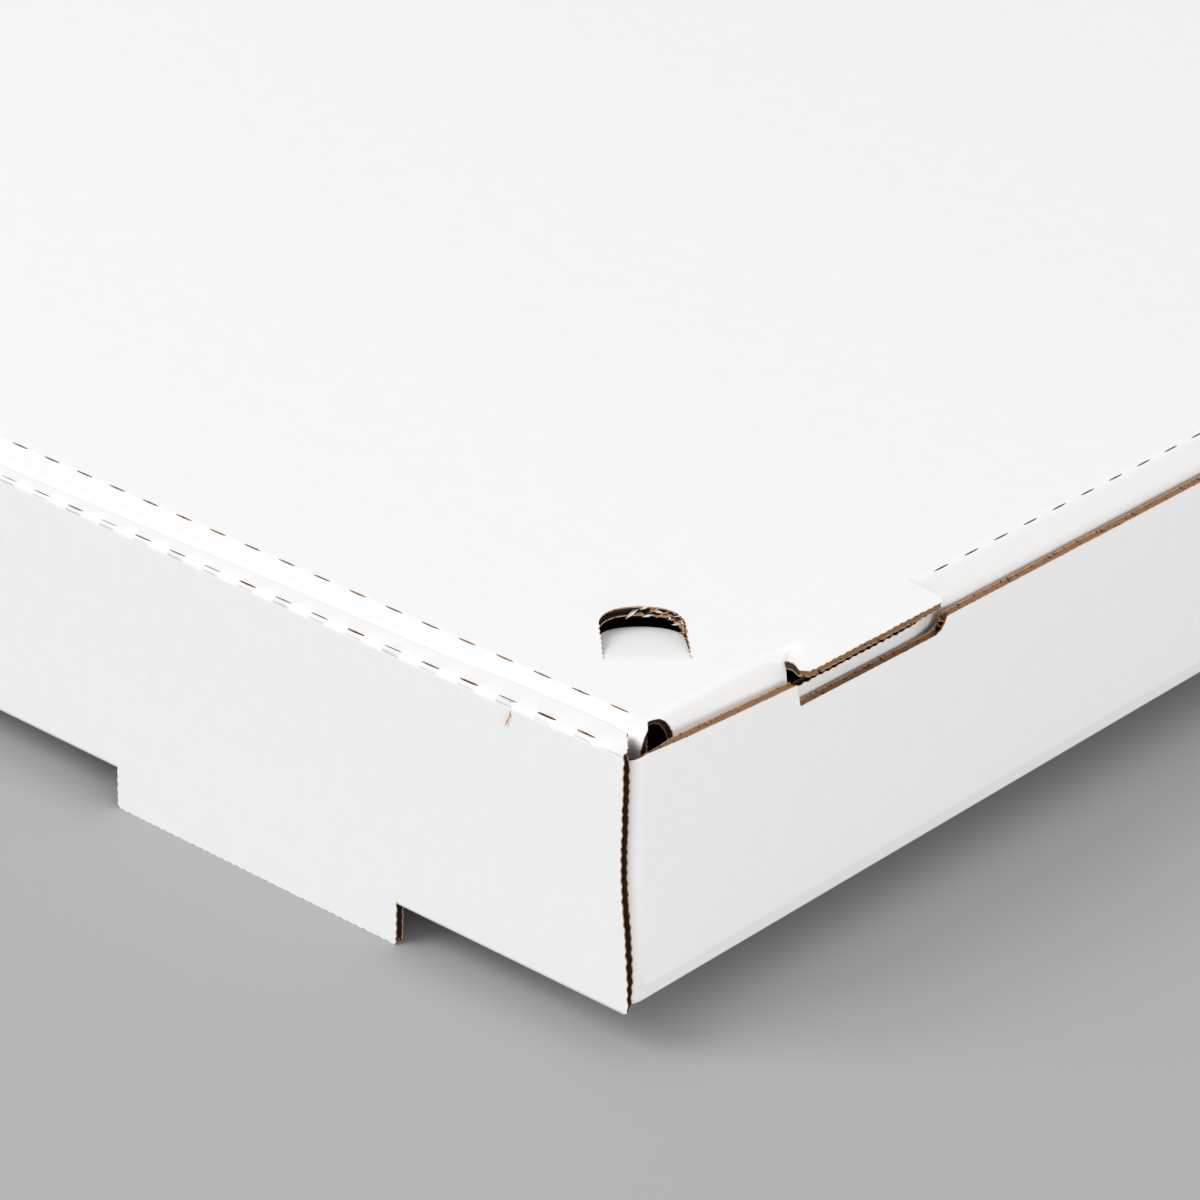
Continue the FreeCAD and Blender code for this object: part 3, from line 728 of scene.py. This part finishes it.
def lid_panel(sheet):
    """Top panel with its vents and tabs, and the two side flaps."""
    vents = {sx: vent_shape(sx) for sx in (-1, 1)}
    flat_front = -LID_FRONT + LID_BEND * math.tan(SHOULDER_ANGLE / 2)
    back = HALF - HINGE_BEND
    side = LID_SIDE - SIDE_BEND * math.tan(SIDE_LEAN / 2)
    flap_back = SIDE_FLAP_BACK
    root_front, root_back = -TAB_ROOT[0], -TAB_ROOT[1]

    bent = SIDE_BEND * math.sin(SIDE_LEAN)
    torn = [(SIDE_BEND * math.sin(t), SIDE_BEND * t) for t in (0.3, 0.6, SIDE_LEAN)]
    torn = [(over, s, root_front - 0.16 * s) for over, s in torn]
    torn.append((bent + 0.63 * math.cos(SIDE_LEAN), torn[-1][1] + 0.63, root_front - 1.0))

    def fall(over):
        """Drop of a side flap's surface, by how far it is past the start of its crease."""
        if over < bent:
            return SIDE_BEND - math.sqrt(SIDE_BEND ** 2 - max(over, 0.0) ** 2)
        return SIDE_BEND * (1 - math.cos(SIDE_LEAN)) + (over - bent) * math.tan(SIDE_LEAN)

    def place(u, v):
        """The tab's front root still follows the flap that it was cut from."""
        over = abs(u) - side
        height = TOP - 0.8 * ease(LID_SIDE + 1.2, TAB_TIP, abs(u))
        edge = root_front - 0.16 * SIDE_BEND * math.asin(min(max(over, 0.0), bent) / SIDE_BEND)
        edge -= 0.69 * ease(bent, torn[-1][0], over) + 0.4 * max(over - torn[-1][0], 0.0)
        near = (1 - ease(0.0, 3.5, v - edge)) * (1 - ease(torn[-1][0], torn[-1][0] + 2.5, over))
        height -= fall(min(over, torn[-1][0])) * near
        for fold, ahead, _ in vents.values():
            off = Vector((u, v)) - fold - ahead * 19
            height -= 0.35 * math.exp(-off.length_squared / 18)
        return u, v, height

    def thick(u, v):
        return BOARD - 0.5 * ease(LID_SIDE + 1, TAB_TIP, abs(u))

    def half(sx):
        root = [(sx * (side + over), v, "line") for over, _, v in torn]
        return [(0.0, flat_front, "fold"), (sx * side, flat_front, "fold"),
                (sx * side, root_front, "line"), *root, (sx * 163.2, root_front - 2.1, "line"),
                (sx * 164.9, root_front - 2.7, "line"), (sx * TAB_TIP, root_front - 1.6, "cut"),
                (sx * TAB_TIP, root_back - 1.2, "line"),
                (sx * (TAB_TIP - 0.9), root_back - 0.2, "line"),
                (sx * side, root_back, "fold"), (sx * side, flap_back, "cut"),
                (sx * LID_SIDE, flap_back + 0.5, "cut"), (sx * LID_SIDE, back, "fold")]

    holes = []
    for _, _, shape in vents.values():
        corners = [(*shape[0], "cut"), *[(*p, "line") for p in shape[1:-1]], (*shape[-1], "line")]
        corners[-2] = (*shape[-2], "cut")
        holes.append(trace(corners))

    def core(u, v):
        if abs(u) > TAB_TIP - 0.5:
            return PRESSED
        return AJAR if abs(u) > side and v < root_back else OPEN

    lines = [[(sx * (side + over), v) for over in (0.2, 0.66, 1.2, bent, 2.4, 3.2, 4.4)]
             for sx in (-1, 1) for v in (root_front + 0.8, root_front + 2.0, root_front + 3.5)]
    sheet.add(trace(both_sides(half)), place, 1, lambda u, v: u, holes, lines,
              grid=8.0, thick=thick, core=core)

    # The tongue keeps the panel's own fold line, and dips more the further it is from it.
    for sx, (_, _, rim) in vents.items():
        fold, ahead, shape = vent_shape(sx, shrink=VENT_GAP)

        def dip(u, v, fold=fold, ahead=ahead):
            off = Vector((u, v)) - fold
            far = max(off.dot(ahead), 0.0)
            drop = far * far / (far + 3.0) * 0.24
            return u, v, TOP - drop

        corners = [(*rim[0], "cut"), *[(*p, "line") for p in shape[1:-1]], (*rim[-1], "line")]
        sheet.add(trace(corners), dip, 1, lambda u, v: u, grid=1.6)
        torn_rim(sheet, fold, ahead, [Vector(p) for p in rim])

    # The side flaps lean out from their creases until they lie against the side walls.
    path = Path((side, TOP), 0.0)
    path.turn(-SIDE_LEAN, SIDE_BEND)
    rest = math.pi / 2 - SIDE_LEAN
    reach = SIDE_FLAP_FACE - path.at[0] - LOOSE_FOLD * (1 - math.sin(SIDE_LEAN))
    path.run(reach / math.cos(SIDE_LEAN)).turn(-rest, LOOSE_FOLD)
    path.run(path.at[1] - FLAP_FOOT)
    crease, slope, hang, foot = path.marks[1:5]
    bottom = 6.7
    hole = -HALF + 12.3
    outline = trace([
        (flat_front, 0.0, "fold"), (root_front, 0.0, "line"), *[(v, s, "line") for _, s, v in torn],
        (root_front - 1.9, 4.1, "line"), (root_front - 2.7, 5.4, "line"),
        (root_front - 3.4, bottom, "cut"), (root_back + 0.4, bottom, "line"),
        (root_back + 0.2, slope, "line"), (root_back, 0.0, "fold"), (flap_back, 0.0, "cut"),
        (flap_back + 0.6, hang, "cut"), (flap_back - 8, foot, "cut"), (hole + 8, foot, "cut"),
        (hole, hang + 2, "cut"), (hole + 0.8, 3.3, "line"), (hole + 0.5, 2.3, "line"),
        (hole - 0.3, 1.6, "line"), (hole - 1.6, 1.3, "line"), (flat_front, CORNER_REACH, "fold")])
    cuts = [lens((-HALF + 76 + 7.25 * k, crease / 2), 0.26) for k in range(31)]
    lines = []
    for low, high in ((0.0, crease), (slope, hang)):
        for k in range(5):
            at = low + (high - low) * k / 4
            if at > 0:
                lines.append(level_line(hole + 2, root_front - 4.4, at))
                lines.append(level_line(root_back + 2, flap_back - 1, at))
    for sx in (-1, 1):
        def flap(u, s, sx=sx):
            x, z = path.place(s)
            off = ((u - root_back - 0.4) / 3.0) ** 2 + ((s - bottom - 2.6) / 3.0) ** 2
            return sx * (x - 1.3 * math.exp(-off)), u, z

        def core(u, s):
            if s < crease and root_back + 2 < u < flap_back - 2:
                return PRESSED
            return AJAR if s < hang else OPEN

        sheet.add(outline, flap, -sx, lambda u, s, sx=sx: sx * (LID_SIDE + s), cuts, lines, core=core)


def lid_front(sheet):
    """Crease, shoulder and flap that tucks down behind the front wall."""
    start = -LID_FRONT + LID_BEND * math.tan(SHOULDER_ANGLE / 2)
    path = Path((start, TOP), math.pi)
    path.turn(SHOULDER_ANGLE, LID_BEND)
    rest = math.pi / 2 - SHOULDER_ANGLE
    out = path.at[0] + FLAP_FACE - LOOSE_BEND * (1 - math.sin(SHOULDER_ANGLE))
    path.run(out / math.cos(SHOULDER_ANGLE)).turn(rest, LOOSE_BEND)
    path.run(path.at[1] - FLAP_FOOT)
    crease, shoulder, hang, foot = path.marks[1:5]
    side = LID_SIDE - SIDE_BEND * math.tan(SIDE_LEAN / 2)
    reach = side + SIDE_BEND * math.sin(CORNER_REACH / SIDE_BEND)

    def place(u, s):
        y, z = path.place(s)
        over = min(max(abs(u) - side, 0.0), reach - side)
        z -= (SIDE_BEND - math.sqrt(SIDE_BEND ** 2 - over ** 2)) * (1 - ease(0.0, shoulder, s))
        tucked = ease(0, hang, s) * (1 - ease(hang, foot, s) * 0.6)
        bulge = 0.4 * ease(HALF - 4.7, HALF - 3.2, abs(u)) * ease(crease, hang, s)
        return u, y + wander(u) * tucked - bulge * (1 - ease(hang, foot, s)), z

    def half(sx):
        return [(0.0, 0.0, "fold"), (sx * side, 0.0, "fold"), (sx * reach, 0.0, "line"),
                (sx * 161.5, 1.65, "line"), (sx * 162.4, 3.3, "line"), (sx * (HALF - 2.3), hang, "cut"),
                (sx * (HALF - 3.4), foot - 8, "cut"), (sx * (HALF - 9), foot, "cut")]

    def core(u, s):
        if abs(u) < side - 0.5 and s < shoulder:
            return PRESSED
        return AJAR if s < hang + 1 else OPEN

    cuts = [lens((x, crease / 2 + 0.08), 0.36) for x in row_of(LID_SLIT, -LID_SLIT, SLITS)]
    lines = [level_line(1 - side, side - 1, at) for at in (crease, shoulder)]
    for k in range(1, 5):
        lines.append(level_line(-HALF + 5, HALF - 5, shoulder + (hang - shoulder) * k / 4))
    sheet.add(trace(both_sides(half)), place, -1, lambda u, s: u, cuts, lines, core=core)


# Materials

def material(name, colour, rough):
    made = bpy.data.materials.new(name)
    made.use_nodes = True
    shader = made.node_tree.nodes["Principled BSDF"]
    shader.inputs["Base Color"].default_value = (*colour, 1)
    shader.inputs["Roughness"].default_value = rough
    shader.inputs["Specular IOR Level"].default_value = 0.25
    return made


def node(tree, kind, inputs=None, **settings):
    """Add a node, with its inputs linked or set and its settings made."""
    made = tree.nodes.new(kind)
    for key, value in settings.items():
        setattr(made, key, value)
    for key, value in (inputs or {}).items():
        if isinstance(value, bpy.types.NodeSocket):
            tree.links.new(value, made.inputs[key])
        else:
            made.inputs[key].default_value = value
    return made


def maths(tree, operation, *values):
    return node(tree, "ShaderNodeMath", dict(enumerate(values)), operation=operation).outputs[0]


def mixed(tree, factor, first, second):
    """Colour between two colours."""
    return node(tree, "ShaderNodeMix", {"Factor": factor, 6: first, 7: second},
                data_type="RGBA").outputs[2]


def ramp(tree, value, low, high):
    """0 below low, 1 above high, straight between."""
    return node(tree, "ShaderNodeMapRange", {0: value, 1: low, 2: high, 3: 0.0, 4: 1.0}).outputs[0]


def grey(value):
    """Linear value of an sRGB level from 0 to 255."""
    part = value / 255
    return part / 12.92 if part <= 0.04045 else ((part + 0.055) / 1.055) ** 2.4


def tone(*levels):
    return tuple(grey(level) for level in levels)


def paper(name, light, dark, scale, bump, ribs):
    """Board facing: two close tones, fibres, and faint ribs from the flutes under it."""
    made = material(name, light, 0.62)
    tree = made.node_tree
    shader = tree.nodes["Principled BSDF"]
    where = node(tree, "ShaderNodeTexCoord").outputs["Object"]
    cloud = node(tree, "ShaderNodeTexNoise", {"Vector": where, "Scale": scale, "Detail": 6.0})
    colour = mixed(tree, cloud.outputs["Fac"], (*light, 1), (*dark, 1))
    tree.links.new(colour, shader.inputs["Base Color"])
    grain = node(tree, "ShaderNodeTexNoise", {"Vector": where, "Scale": FIBRE_SCALE, "Detail": 3.0})
    across = node(tree, "ShaderNodeAttribute", attribute_name="across").outputs["Fac"]
    rib = maths(tree, "SINE", maths(tree, "MULTIPLY", across, 2 * math.pi / (FLUTE_PITCH * MM)))
    total = maths(tree, "ADD", maths(tree, "MULTIPLY", rib, ribs), grain.outputs["Fac"])
    height = node(tree, "ShaderNodeBump", {"Height": total, "Strength": bump, "Distance": 0.1 * MM})
    tree.links.new(height.outputs["Normal"], shader.inputs["Normal"])
    return made


def crushed(name, light, brown, dark):
    """Board cut across: pale liners at both faces, brown between them, with pale and dark specks."""
    made = paper(name, brown, tuple(0.55 * level for level in brown), FIBRE_SCALE, 1.0, 0.0)
    tree = made.node_tree
    base = tree.nodes["Principled BSDF"].inputs["Base Color"]
    where = node(tree, "ShaderNodeTexCoord").outputs["Object"]
    depth = node(tree, "ShaderNodeAttribute", attribute_name="depth").outputs["Fac"]
    off = maths(tree, "ABSOLUTE", maths(tree, "SUBTRACT", depth, 0.5))
    rough = node(tree, "ShaderNodeTexNoise", {"Vector": where, "Scale": 2200.0, "Detail": 2.0})
    edge = maths(tree, "ADD", off, maths(tree, "MULTIPLY", rough.outputs["Fac"], 0.5))
    pale = mixed(tree, ramp(tree, edge, 0.56, 0.7), base.links[0].from_socket, (*light, 1))
    specks = node(tree, "ShaderNodeTexNoise", {"Vector": where, "Scale": 1500.0, "Detail": 1.0})
    full = mixed(tree, ramp(tree, specks.outputs["Fac"], 0.63, 0.67), pale, (*dark, 1))
    tree.links.new(full, base)
    return made


white = paper("board_white", tone(246, 246, 246), tone(242, 242, 242), 260.0, 0.35, 0.25)
kraft = paper("board_kraft", tone(178, 138, 98), tone(160, 120, 82), 420.0, 0.5, 0.5)
cut = crushed("board_cut", tone(200, 156, 116), tone(160, 118, 82), tone(50, 42, 38))
# Painted shade: the open flute channels inside a cut edge are coloured near black, standing in for the
# shadow within them.
flute_shade = paper("board_flute_painted_shade", tone(70, 60, 52), tone(38, 34, 31), 700.0, 0.6, 0.0)
BOARD_MATERIALS = (white, kraft, cut, flute_shade)


def tray_settle(p):
    """Walls that have sprung out a little, over a base that has dropped at its corners."""
    off_side = ease(HALF - 3, HALF - 0.5, abs(p.x))
    off_end = ease(HALF - 3, HALF - 0.5, abs(p.y))
    bow = BOW * ease(BASE + 4, TOP - 4, p.z) * (1 - (p.y / HALF) ** 2)
    spread = SPREAD * (1 - ease(0.0, 30.0, p.z))
    low = ease(0.5, 5.0, p.z) * (1 - ease(BASE + 3, BASE + 15, p.z))
    side_drop = ease(HALF - 30, HALF, abs(p.x))
    end_drop = ease(HALF - 30, HALF, abs(p.y))
    lift = EDGE_LIFT * side_drop * (1 - math.hypot(p.y / HALF, 0.2))
    lift -= EDGE_DROP * max(side_drop, end_drop)
    return Vector((p.x + math.copysign((bow + spread) * off_side, p.x),
                   p.y + math.copysign(spread * off_end, p.y), max(p.z + lift * low, 0.0)))


def lid_settle(p):
    """A lid that sags slightly between its edges."""
    middle = max(1 - (p.x / 150) ** 2, 0.0) * max(1 - (p.y / 150) ** 2, 0.0)
    p.z -= SAG * middle * ease(TOP - 4, TOP - 1, p.z)
    return p


tray = Sheet(tray_settle)
tray_front(tray)
floor_and_bends(tray)
for side in (-1, 1):
    side_wall(tray, side)
back_wall(tray)
lid = Sheet(lid_settle)
lid_panel(lid)
lid_front(lid)
hinge = Sheet(lid_settle)
hinge_strip(hinge)


def at_hinge(point):
    """Whether a rim point lies on the crease, where the sheets join without a cut edge."""
    return point.y > HALF - HINGE_BEND - NUDGE and point.z > TOP - HINGE_BEND - NUDGE


tray_piece = tray.build("tray_sheet", BOARD_MATERIALS, at_hinge)
lid_piece = lid.build("lid_sheet", BOARD_MATERIALS, at_hinge)
hinge_piece = hinge.build("hinge_crease", BOARD_MATERIALS, at_hinge)
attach(tray_piece, "tray")
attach(lid_piece, "lid")
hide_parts("tray")
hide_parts("lid")
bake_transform(hinge_piece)

# Floor, light and camera

floor_mesh = bpy.data.meshes.new("floor")
FLOOR_HALF = 6
FLOOR_LEVEL = 173
WORLD_LEVEL = 0.655
LENS = 142.47
SENSOR_WIDTH = 36
corners = [(x * FLOOR_HALF, y * FLOOR_HALF, 0) for x, y in ((-1, -1), (1, -1), (1, 1), (-1, 1))]
floor_mesh.from_pydata(corners, [], [(0, 1, 2, 3)])
floor = bpy.data.objects.new("floor", floor_mesh)
floor_mesh.materials.append(material("floor", tone(*[FLOOR_LEVEL] * 3), 0.85))
bpy.context.scene.collection.objects.link(floor)

world = bpy.data.worlds.new("world")
world.use_nodes = True
background = world.node_tree.nodes["Background"]
background.inputs["Color"].default_value = (1, 1, 1, 1)
background.inputs["Strength"].default_value = WORLD_LEVEL
bpy.context.scene.world = world


def area_light(name, at, size, power):
    """A square lamp that faces the middle of the floor."""
    data = bpy.data.lights.new(name, "AREA")
    data.shape = "SQUARE"
    data.size = size
    data.energy = power
    lamp = bpy.data.objects.new(name, data)
    lamp.location = at
    lamp.rotation_euler = (-Vector(at)).to_track_quat("-Z", "Y").to_euler()
    bpy.context.scene.collection.objects.link(lamp)


area_light("key", (-0.9, -1.6, 1.7), 1.3, 30.0)
area_light("fill", (2.1, -0.75, 0.5), 0.8, 16.0)

CAMERA_AT = Vector((0.53188, -0.59584, 0.35704))
LOOK = Vector((-0.5839, 0.6750, -0.4510)).normalized()
ROLL = math.radians(1.57)
right = LOOK.cross(Vector((0, 0, 1))).normalized()
up = right.cross(LOOK)
camera_right = right * math.cos(ROLL) + up * math.sin(ROLL)
camera_up = up * math.cos(ROLL) - right * math.sin(ROLL)
camera_data = bpy.data.cameras.new("camera")
camera_data.lens = LENS
camera_data.sensor_width = SENSOR_WIDTH
camera_data.sensor_fit = "HORIZONTAL"
camera = bpy.data.objects.new("camera", camera_data)
turn = Matrix((camera_right, camera_up, -LOOK)).transposed().to_4x4()
camera.matrix_world = Matrix.Translation(CAMERA_AT) @ turn
bpy.context.scene.collection.objects.link(camera)
bpy.context.scene.camera = camera
bpy.context.scene.view_settings.view_transform = "Standard"
